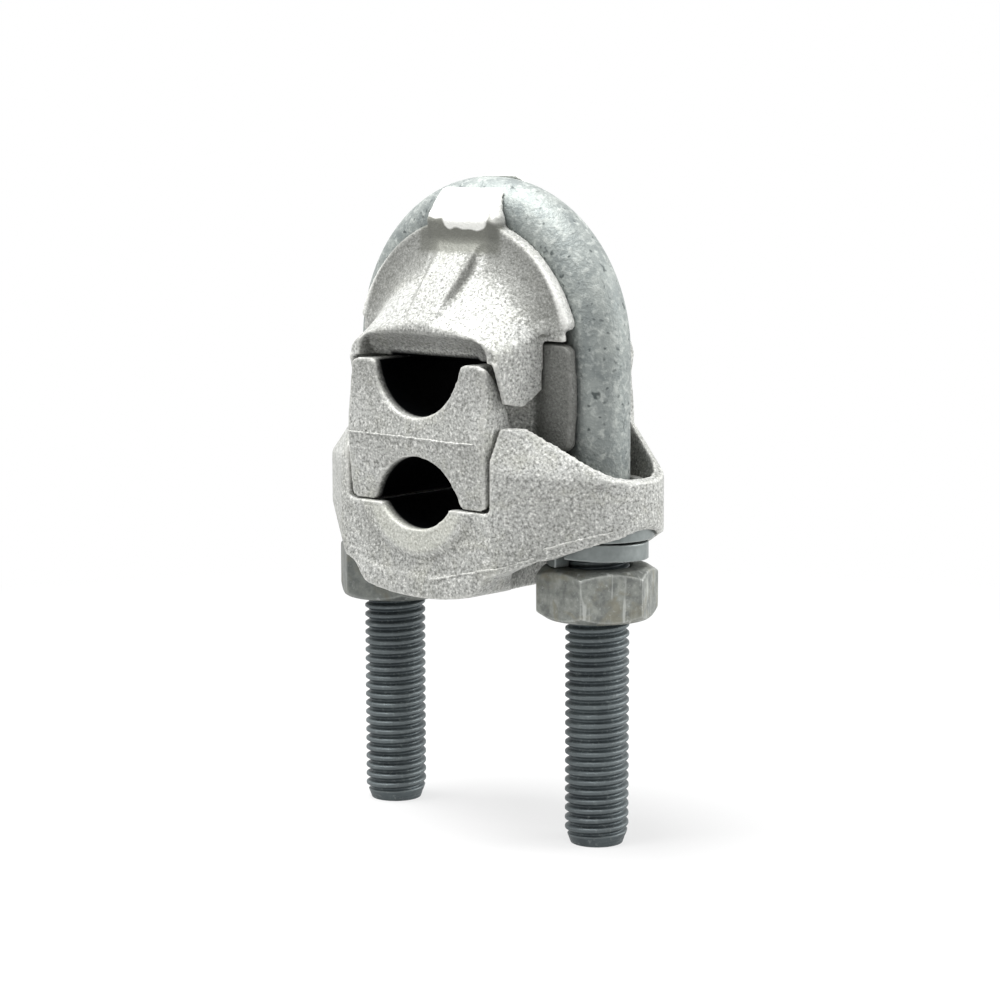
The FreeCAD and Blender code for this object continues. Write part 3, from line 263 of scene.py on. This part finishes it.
def galvanised_bar():
    """Hot-dip galvanised steel: bluish grey zinc, cloudy, with whiter bloom and small dark pits."""
    material, tree = new_material("hot_dip_galvanised_bar")
    place = add(tree, "ShaderNodeTexCoord", output="Object")
    cloud = add(tree, "ShaderNodeTexNoise", {"Vector": place, "Scale": per_metre(3.5), "Detail": 4.0,
                                             "Roughness": 0.6, "Distortion": 0.4})
    mottle = add(tree, "ShaderNodeTexNoise", {"Vector": place, "Scale": per_metre(1.0), "Detail": 3.0,
                                              "Roughness": 0.6})
    fine = add(tree, "ShaderNodeTexNoise", {"Vector": place, "Scale": per_metre(0.5), "Detail": 2.0})
    pits = add(tree, "ShaderNodeTexNoise", {"Vector": place, "Scale": per_metre(1.1), "Detail": 1.0})
    zinc = coat(tree, linear("#777d7c"), "#939895", cloud, 0.35, 0.65)
    zinc = coat(tree, zinc, "#bcc0bc", mottle, 0.50, 0.70, 0.65)
    zinc = coat(tree, zinc, "#3a4141", pits, 0.65, 0.75, 0.8)
    rough = add(tree, "ShaderNodeMapRange", {"Value": mottle, "From Min": 0.3, "From Max": 0.7,
                                             "To Min": 0.56, "To Max": 0.74})
    height = add(tree, "ShaderNodeMath", {0: mottle, 1: fine}, operation="ADD")
    close_material(tree, zinc, ZINC_METAL, rough, height, 0.5, 0.15)
    return material


def thread_zinc():
    """Spun zinc on a rolled thread: darker than the bar, dull in the roots, lighter on the crests."""
    material, tree = new_material("galvanised_thread")
    place = add(tree, "ShaderNodeTexCoord", output="Object")
    fine = add(tree, "ShaderNodeTexNoise", {"Vector": place, "Scale": per_metre(0.6), "Detail": 3.0,
                                            "Roughness": 0.6})
    cloud = add(tree, "ShaderNodeTexNoise", {"Vector": place, "Scale": per_metre(6.0), "Detail": 3.0,
                                             "Roughness": 0.6})
    bend = add(tree, "ShaderNodeNewGeometry", output="Pointiness")
    zinc = coat(tree, linear("#40474a"), "#535b5d", cloud, 0.35, 0.65)
    zinc = coat(tree, zinc, "#7f8687", bend, 0.50, 0.60, 0.8)
    zinc = coat(tree, zinc, "#8a908f", fine, 0.55, 0.75, 0.5)
    close_material(tree, zinc, ZINC_METAL, 0.5, fine, 0.4, 0.1)
    return material


def nut_zinc(name, dull):
    """Galvanised nut, handled with a spanner: grey zinc with olive stains and bright scuffs. dull is
    how much painted shade darkens the zinc, as on the left nut."""
    material, tree = new_material(name)
    place = add(tree, "ShaderNodeTexCoord", output="Object")
    fine = add(tree, "ShaderNodeTexNoise", {"Vector": place, "Scale": per_metre(0.6), "Detail": 3.0,
                                            "Roughness": 0.6})
    cloud = add(tree, "ShaderNodeTexNoise", {"Vector": place, "Scale": per_metre(2.2), "Detail": 3.0,
                                             "Roughness": 0.7})
    stain = add(tree, "ShaderNodeTexNoise", {"Vector": place, "Scale": per_metre(3.0), "Detail": 3.0,
                                             "Distortion": 0.8})
    bend = add(tree, "ShaderNodeNewGeometry", output="Pointiness")
    # Scratches that a spanner leaves: about 0.5 mm wide, where this pattern is drawn out upwards
    tall = add(tree, "ShaderNodeMapping", {"Vector": place, "Scale": (1.0, 1.0, 0.12)})
    scratch = add(tree, "ShaderNodeTexNoise", {"Vector": tall, "Scale": per_metre(0.9), "Detail": 1.0})
    zinc = coat(tree, linear("#6a6d6a"), "#92958f", cloud, 0.35, 0.65)
    zinc = coat(tree, zinc, "#7d7968", stain, 0.50, 0.66, 0.6)
    zinc = coat(tree, zinc, "#abaeaa", fine, 0.58, 0.76, 0.7)
    zinc = coat(tree, zinc, "#cfd1cd", scratch, 0.66, 0.74, 0.45)
    zinc = coat(tree, zinc, "#c3c5c1", bend, 0.51, 0.57, 0.7)
    # Painted shade: the whole nut darker by dull
    zinc = add(tree, "ShaderNodeMix", {0: dull, 6: zinc, 7: linear("#3f4443")}, 2, data_type="RGBA")
    close_material(tree, zinc, ZINC_METAL, 0.5, fine, 0.35, 0.1)
    return material


def washer_zinc():
    """Galvanised washer steel: even mid grey, slightly smoother than the bar."""
    material, tree = new_material("galvanised_washer")
    place = add(tree, "ShaderNodeTexCoord", output="Object")
    fine = add(tree, "ShaderNodeTexNoise", {"Vector": place, "Scale": per_metre(0.5), "Detail": 3.0,
                                            "Roughness": 0.6})
    cloud = add(tree, "ShaderNodeTexNoise", {"Vector": place, "Scale": per_metre(3.0), "Detail": 3.0,
                                             "Roughness": 0.6})
    bend = add(tree, "ShaderNodeNewGeometry", output="Pointiness")
    zinc = coat(tree, linear("#6d7372"), "#838988", cloud, 0.35, 0.65)
    zinc = coat(tree, zinc, "#b4b9b7", bend, 0.51, 0.57, 0.6)
    close_material(tree, zinc, ZINC_METAL, 0.45, fine, 0.3, 0.08)
    return material


# Finished meshes

WELD = 0.002 * MM


def plain_piece(live, name, body):
    """Turn an object with modifiers into a plain mesh that rides on a body."""
    mesh = bpy.data.meshes.new_from_object(live.evaluated_get(bpy.context.evaluated_depsgraph_get()))
    bpy.data.objects.remove(live)
    mesh.name = name
    for face in mesh.polygons:
        face.use_smooth = True
    piece = bpy.data.objects.new(name, mesh)
    scene.collection.objects.link(piece)
    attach(piece, body)
    return piece


def soft_edges(node, name, material, body, voxel_mm, passes):
    """A casting or forging whose edges are rounded as the real process leaves them."""
    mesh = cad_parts[node].data.copy()
    work = bmesh.new()
    work.from_mesh(mesh)
    bmesh.ops.remove_doubles(work, verts=work.verts, dist=WELD)
    work.to_mesh(mesh)
    work.free()
    mesh.materials.clear()
    mesh.materials.append(material)
    live = bpy.data.objects.new(node + "_work", mesh)
    scene.collection.objects.link(live)
    remesh = live.modifiers.new("skin", "REMESH")
    remesh.mode = "VOXEL"
    remesh.voxel_size = voxel_mm * MM
    smooth = live.modifiers.new("soften", "SMOOTH")
    smooth.factor = 0.5
    smooth.iterations = passes
    piece = plain_piece(live, name, body)
    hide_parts(node)
    return piece


# Geometry nodes

def new_geometry_tree(name, **inputs):
    """A tree with a geometry input, the named inputs, and a geometry output."""
    tree = bpy.data.node_groups.new(name, "GeometryNodeTree")
    tree.interface.new_socket("Geometry", in_out="INPUT", socket_type="NodeSocketGeometry")
    for label, kind in inputs.items():
        tree.interface.new_socket(label.replace("_", " "), in_out="INPUT",
                                  socket_type="NodeSocket" + kind)
    tree.interface.new_socket("Geometry", in_out="OUTPUT", socket_type="NodeSocketGeometry")
    given = tree.nodes.new("NodeGroupInput").outputs
    return tree, given


def run_tree(tree, mesh, name, values, body):
    """Run a geometry tree on a mesh and keep its result as a plain piece."""
    live = bpy.data.objects.new(name + "_work", mesh)
    scene.collection.objects.link(live)
    modifier = live.modifiers.new("make", "NODES")
    modifier.node_group = tree
    for item in tree.interface.items_tree:
        if item.item_type == "SOCKET" and item.in_out == "INPUT" and item.name in values:
            modifier[item.identifier] = values[item.name]
    return plain_piece(live, name, body)


# U-bolt: a bar swept up one leg, round the bend and down the other, with a rolled thread

PITCH = 1.5 * MM
THREAD_TOP = 52.0 * MM
THREAD_DEPTH = 0.68 * MM
POINT_LENGTH = 2.4 * MM
POINT_DEPTH = 0.9 * MM
RUN_OUT_TURNS = 2.0

# The groove's flank, in turns from the middle of a crest: where it starts and where it is deepest
FLANK_START = 0.09
FLANK_END = 0.47

# How finely the bar is swept
RINGS_PER_TURN = 12
BEND_RINGS = 120
ROUND_POINTS = 64


def u_bolt_tree():
    tree, given = new_geometry_tree(
        "threaded_u_bolt", Leg_X="Float", Bend_Height="Float", Bar_Radius="Float", Pitch="Float",
        Thread_Depth="Float", Thread_Top="Float", Point_Length="Float", Point_Depth="Float",
        Bar="Material", Thread="Material")
    leg_rings = round(THREAD_TOP / PITCH * RINGS_PER_TURN)
    count = 2 * leg_rings + 2 + BEND_RINGS + 1
    # The path: point numbers run up the left leg, round the bend and down the right leg
    line = add(tree, "GeometryNodeCurvePrimitiveLine", {"End": (0.0, 0.0, 1.0)})
    line = add(tree, "GeometryNodeResampleCurve", {"Curve": line, "Count": count})
    index = add(tree, "GeometryNodeInputIndex")
    mirror = add(tree, "ShaderNodeMath", {0: float(count - 1), 1: index}, operation="SUBTRACT")
    step = add(tree, "ShaderNodeMath", {0: index, 1: mirror}, operation="MINIMUM")
    climb = add(tree, "ShaderNodeMapRange", {"Value": step, "From Max": float(leg_rings),
                                             "To Max": given["Thread Top"]})
    side = add(tree, "ShaderNodeMath", {0: index, 1: mirror}, operation="SUBTRACT")
    side = add(tree, "ShaderNodeMath", {0: side}, operation="SIGN")
    leg_x = add(tree, "ShaderNodeMath", {0: side, 1: given["Leg X"]}, operation="MULTIPLY")
    leg = add(tree, "ShaderNodeCombineXYZ", {"X": leg_x, "Z": climb})
    turn = add(tree, "ShaderNodeMapRange", {"Value": index, "From Min": float(leg_rings + 1),
                                            "From Max": float(count - leg_rings - 2),
                                            "To Min": math.pi, "To Max": 0.0})
    round_x = add(tree, "ShaderNodeMath", {0: turn}, operation="COSINE")
    round_x = add(tree, "ShaderNodeMath", {0: round_x, 1: given["Leg X"]}, operation="MULTIPLY")
    round_z = add(tree, "ShaderNodeMath", {0: turn}, operation="SINE")
    round_z = add(tree, "ShaderNodeMath", {0: round_z, 1: given["Leg X"], 2: given["Bend Height"]},
                  operation="MULTIPLY_ADD")
    bend = add(tree, "ShaderNodeCombineXYZ", {"X": round_x, "Z": round_z})
    on_bend = add(tree, "ShaderNodeMath", {0: step, 1: leg_rings + 0.5}, operation="GREATER_THAN")
    route = add(tree, "GeometryNodeSwitch", {"Switch": on_bend, "False": leg, "True": bend},
                input_type="VECTOR")
    path = add(tree, "GeometryNodeSetPosition", {"Geometry": line, "Position": route})
    ring = add(tree, "GeometryNodeCurvePrimitiveCircle",
               {"Resolution": ROUND_POINTS, "Radius": given["Bar Radius"]})
    bar = add(tree, "GeometryNodeCurveToMesh", {"Curve": path, "Profile Curve": ring, "Fill Caps": True})
    # The thread: a groove that climbs one pitch in each turn, cut in towards the leg's own axis
    place = add(tree, "GeometryNodeInputPosition")
    x = add(tree, "ShaderNodeSeparateXYZ", {"Vector": place}, "X")
    y = x.node.outputs["Y"]
    z = x.node.outputs["Z"]
    hand = add(tree, "ShaderNodeMath", {0: x}, operation="SIGN")
    axis_x = add(tree, "ShaderNodeMath", {0: hand, 1: given["Leg X"]}, operation="MULTIPLY")
    out_x = add(tree, "ShaderNodeMath", {0: x, 1: axis_x}, operation="SUBTRACT")
    out = add(tree, "ShaderNodeCombineXYZ", {"X": out_x, "Y": y})
    out = add(tree, "ShaderNodeVectorMath", {0: out}, operation="NORMALIZE")
    angle = add(tree, "ShaderNodeMath", {0: y, 1: out_x}, operation="ARCTAN2")
    angle = add(tree, "ShaderNodeMath", {0: angle, 1: 2 * math.pi}, operation="DIVIDE")
    turns = add(tree, "ShaderNodeMath", {0: z, 1: given["Pitch"]}, operation="DIVIDE")
    turns = add(tree, "ShaderNodeMath", {0: turns, 1: angle}, operation="SUBTRACT")
    wave = add(tree, "ShaderNodeMath", {0: turns, 1: 0.5}, operation="PINGPONG")
    groove = add(tree, "ShaderNodeMapRange", {"Value": wave, "From Min": FLANK_START,
                                              "From Max": FLANK_END}, interpolation_type="SMOOTHSTEP")
    run_out = add(tree, "ShaderNodeMath", {0: given["Thread Top"], 1: z}, operation="SUBTRACT")
    run_out = add(tree, "ShaderNodeMath", {0: run_out, 1: given["Pitch"]}, operation="DIVIDE")
    run_out = add(tree, "ShaderNodeMapRange", {"Value": run_out, "From Max": RUN_OUT_TURNS})
    groove = add(tree, "ShaderNodeMath", {0: groove, 1: run_out}, operation="MULTIPLY")
    groove = add(tree, "ShaderNodeMath", {0: groove, 1: given["Thread Depth"]}, operation="MULTIPLY")
    point = add(tree, "ShaderNodeMapRange", {"Value": z, "From Max": given["Point Length"],
                                             "To Min": given["Point Depth"], "To Max": 0.0})
    depth = add(tree, "ShaderNodeMath", {0: groove, 1: point}, operation="MAXIMUM")
    cut = add(tree, "ShaderNodeVectorMath", {0: out, "Scale": depth}, operation="SCALE")
    cut = add(tree, "ShaderNodeVectorMath", {0: cut, "Scale": -1.0}, operation="SCALE")
    low = add(tree, "ShaderNodeMath", {0: z, 1: given["Thread Top"]}, operation="LESS_THAN")
    bar = add(tree, "GeometryNodeSetPosition", {"Geometry": bar, "Selection": low, "Offset": cut})
    bar = add(tree, "GeometryNodeRealizeInstances", {"Geometry": bar})
    bar = add(tree, "GeometryNodeSetMaterial", {"Geometry": bar, "Material": given["Bar"]})
    bar = add(tree, "GeometryNodeSetMaterial", {"Geometry": bar, "Selection": low,
                                                "Material": given["Thread"]})
    add(tree, "NodeGroupOutput", {"Geometry": bar})
    return tree


def u_bolt():
    """The bolt from its own sizes. Its thread ends out of sight in the lower body's ears."""
    piece = run_tree(u_bolt_tree(), bpy.data.meshes.new("u_bolt_seed"), "u_bolt_bar", {
        "Leg X": LEG_X, "Bend Height": BEND_Z, "Bar Radius": BAR_RADIUS, "Pitch": PITCH,
        "Thread Depth": THREAD_DEPTH, "Thread Top": THREAD_TOP, "Point Length": POINT_LENGTH,
        "Point Depth": POINT_DEPTH, "Bar": galvanised_bar(), "Thread": thread_zinc(),
    }, "bolt_and_saddle")
    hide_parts("u_bolt")


# Flash: the thin uneven bead that the two halves of the mould leave along their parting line

# Where it lies on the front: each line is given by the (x, z) of its points in mm
SPACER_FLASH = ([(-14.2, 63.5), (-5.2, 63.5), (2.2, 63.4), (8.3, 63.3), (13.4, 63.4)],
                [(-10.6, 63.6), (-10.2, 64.1), (-9.4, 64.9)])
BODY_FLASH = ([(3.1, 41.5), (7.2, 42.5), (12.4, 43.7), (17.1, 44.8), (21.4, 46.5)],
              [(22.1, 47.7), (24.0, 48.4), (27.2, 49.5), (30.7, 50.5)])

# In mm: the steps in which a line is laid, the step across a gap that breaks it, and a y in front
# of the clamp from where the surface is looked for
FLASH_STEP = 0.6
FLASH_GAP = 1.5
IN_FRONT = -60

FLASH_SPACING = 0.5 * MM
FLASH_WANDER = 0.5 * MM


def flash_tree():
    tree, given = new_geometry_tree(
        "casting_flash", Bead_Radius="Float", Spacing="Float", Wander="Float", Metal="Material")
    line = add(tree, "GeometryNodeMeshToCurve", {"Mesh": given["Geometry"]})
    line = add(tree, "GeometryNodeResampleCurve", {"Curve": line, "Length": given["Spacing"]},
               mode="LENGTH")
    place = add(tree, "GeometryNodeInputPosition")
    uneven = add(tree, "ShaderNodeTexNoise", {"Vector": place, "Scale": per_metre(1.3), "Detail": 2.0},
                 "Color")
    uneven = add(tree, "ShaderNodeVectorMath", {0: uneven, 1: (0.5, 0.5, 0.5)}, operation="SUBTRACT")
    uneven = add(tree, "ShaderNodeVectorMath", {0: uneven, "Scale": given["Wander"]}, operation="SCALE")
    line = add(tree, "GeometryNodeSetPosition", {"Geometry": line, "Offset": uneven})
    thick = add(tree, "ShaderNodeTexNoise", {"Vector": place, "Scale": per_metre(2.2), "Detail": 2.0})
    thick = add(tree, "ShaderNodeMapRange", {"Value": thick, "From Min": 0.35, "From Max": 0.65,
                                             "To Min": 0.55, "To Max": 1.25})
    line = add(tree, "GeometryNodeSetCurveRadius", {"Curve": line, "Radius": thick})
    ring = add(tree, "GeometryNodeCurvePrimitiveCircle",
               {"Resolution": 8, "Radius": given["Bead Radius"]})
    bead = add(tree, "GeometryNodeCurveToMesh",
               {"Curve": line, "Profile Curve": ring, "Fill Caps": True})
    bead = add(tree, "GeometryNodeRealizeInstances", {"Geometry": bead})
    bead = add(tree, "GeometryNodeSetMaterial", {"Geometry": bead, "Material": given["Metal"]})
    add(tree, "NodeGroupOutput", {"Geometry": bead})
    return tree


def flash(tree, casting, name, body, metal, radius_mm, lines):
    """Lay a bead on a casting's front along each of the lines."""
    surface = BVHTree.FromPolygons([v.co for v in casting.data.vertices],
                                   [f.vertices for f in casting.data.polygons])
    points, edges = [], []
    for line in lines:
        start = len(points)
        for (x0, z0), (x1, z1) in zip(line, line[1:]):
            steps = max(int(math.hypot(x1 - x0, z1 - z0) / FLASH_STEP), 1)
            for i in range(steps):
                x = x0 + (x1 - x0) * i / steps
                z = z0 + (z1 - z0) * i / steps
                hit = surface.ray_cast(Vector((x, IN_FRONT, z)) * MM, Vector((0, 1, 0)))[0]
                if hit:
                    points.append(hit)
        edges += [(i, i + 1) for i in range(start, len(points) - 1)
                  if (points[i + 1] - points[i]).length < FLASH_GAP * MM]
    mesh = bpy.data.meshes.new(name + "_line")
    mesh.from_pydata(points, edges, [])
    run_tree(tree, mesh, name, {
        "Bead Radius": radius_mm * MM, "Spacing": FLASH_SPACING, "Wander": FLASH_WANDER,
        "Metal": metal,
    }, body)


# Floor, light and background, in metres

FLOOR_REACH = 3.0
SHADED_FLOOR = (0.08, 0.72)
WHITE_FLOOR = (0.25, 1.0)
ROOM_LIGHT = 0.45
LAMP_AIM = (0, 0, 0.06)


def white_floor():
    """A white sheet: it shows as white and keeps the clamp's soft shadow. Each of SHADED_FLOOR and
    WHITE_FLOOR is a distance from the middle and how much of the sheet is plain white there."""
    material, tree = new_material("white_floor")
    camera = add(tree, "ShaderNodeLightPath", output="Is Camera Ray")
    seen = add(tree, "ShaderNodeMath", {0: camera, 1: camera.node.outputs["Is Glossy Ray"]},
               operation="MAXIMUM")
    # The sheet runs out to plain white away from the clamp, as in the photo
    place = add(tree, "ShaderNodeTexCoord", output="Object")
    away = add(tree, "ShaderNodeVectorMath", {0: place}, "Value", operation="LENGTH")
    white = add(tree, "ShaderNodeMapRange", {"Value": away,
                                             "From Min": SHADED_FLOOR[0], "From Max": WHITE_FLOOR[0],
                                             "To Min": SHADED_FLOOR[1], "To Max": WHITE_FLOOR[1]})
    share = add(tree, "ShaderNodeMath", {0: seen, 1: white}, operation="MULTIPLY")
    paper = add(tree, "ShaderNodeBsdfDiffuse", {"Color": linear("#cdcdcd")})
    glow = add(tree, "ShaderNodeEmission", {"Color": (1, 1, 1, 1), "Strength": 1.0})
    both = add(tree, "ShaderNodeMixShader", {0: share, 1: paper, 2: glow})
    add(tree, "ShaderNodeOutputMaterial", {"Surface": both})
    mesh = bpy.data.meshes.new("floor")
    corners = [(x * FLOOR_REACH, y * FLOOR_REACH, 0) for x, y in ((-1, -1), (1, -1), (1, 1), (-1, 1))]
    mesh.from_pydata(corners, [], [(0, 1, 2, 3)])
    mesh.materials.append(material)
    floor = bpy.data.objects.new("floor", mesh)
    scene.collection.objects.link(floor)


def soft_lamp(name, place, width, height, watts):
    data = bpy.data.lights.new(name, "AREA")
    data.shape = "RECTANGLE"
    data.size = width
    data.size_y = height
    data.energy = watts
    lamp = bpy.data.objects.new(name, data)
    scene.collection.objects.link(lamp)
    look = (Vector(LAMP_AIM) - Vector(place)).to_track_quat("-Z", "Y")
    lamp.matrix_world = Matrix.Translation(place) @ look.to_matrix().to_4x4()


def make_world():
    world = bpy.data.worlds.new("studio")
    scene.world = world
    world.use_nodes = True
    tree = world.node_tree
    tree.nodes.clear()
    camera = add(tree, "ShaderNodeLightPath", output="Is Camera Ray")
    seen = add(tree, "ShaderNodeMath", {0: camera, 1: camera.node.outputs["Is Glossy Ray"]},
               operation="MAXIMUM")
    level = add(tree, "ShaderNodeMapRange", {"Value": seen, "To Min": ROOM_LIGHT, "To Max": 1.0})
    back = add(tree, "ShaderNodeBackground", {"Color": (1, 1, 1, 1), "Strength": level})
    add(tree, "ShaderNodeOutputWorld", {"Surface": back})


def make_studio():
    white_floor()
    make_world()
    soft_lamp("top_lamp", (-0.15, -0.15, 0.8), 0.5, 0.5, 14.0)
    soft_lamp("rear_lamp", (0.5, 0.5, 0.3), 0.5, 0.4, 4.5)
    scene.view_settings.view_transform = "Standard"


# The scene

make_camera()
u_bolt()
# Only the spacer's casting has painted shade on its plates and horns
casting = blasted_casting("shot_blasted_aluminium", polish=0.8, plate_shade=0.0)
plated = blasted_casting("shot_blasted_aluminium_spacer", polish=0.8, plate_shade=0.8)
burr = blasted_casting("casting_flash", polish=0.2, plate_shade=0.0)
# The left nut is the same zinc with painted shade
nuts = {"left": nut_zinc("galvanised_nut_shaded", 0.45), "right": nut_zinc("galvanised_nut", 0.0)}
washer = washer_zinc()
soft_edges("upper_saddle", "saddle_casting", casting, "bolt_and_saddle", 0.36, 2)
spacer = soft_edges("middle_spacer", "spacer_casting", plated, "spacer", 0.4, 4)
lower = soft_edges("lower_body", "body_casting", casting, "lower_clamp", 0.4, 4)
bead = flash_tree()
flash(bead, spacer, "spacer_flash", "spacer", burr, 0.17, SPACER_FLASH)
flash(bead, lower, "body_flash", "lower_clamp", burr, 0.2, BODY_FLASH)
for side in ("left", "right"):
    soft_edges("hex_nut_" + side, "nut_" + side, nuts[side], side + "_nut", 0.2, 3)
    for kind in ("flat_washer_", "spring_washer_"):
        soft_edges(kind + side, kind + side + "_ring", washer, "lower_clamp", 0.15, 2)
make_studio()
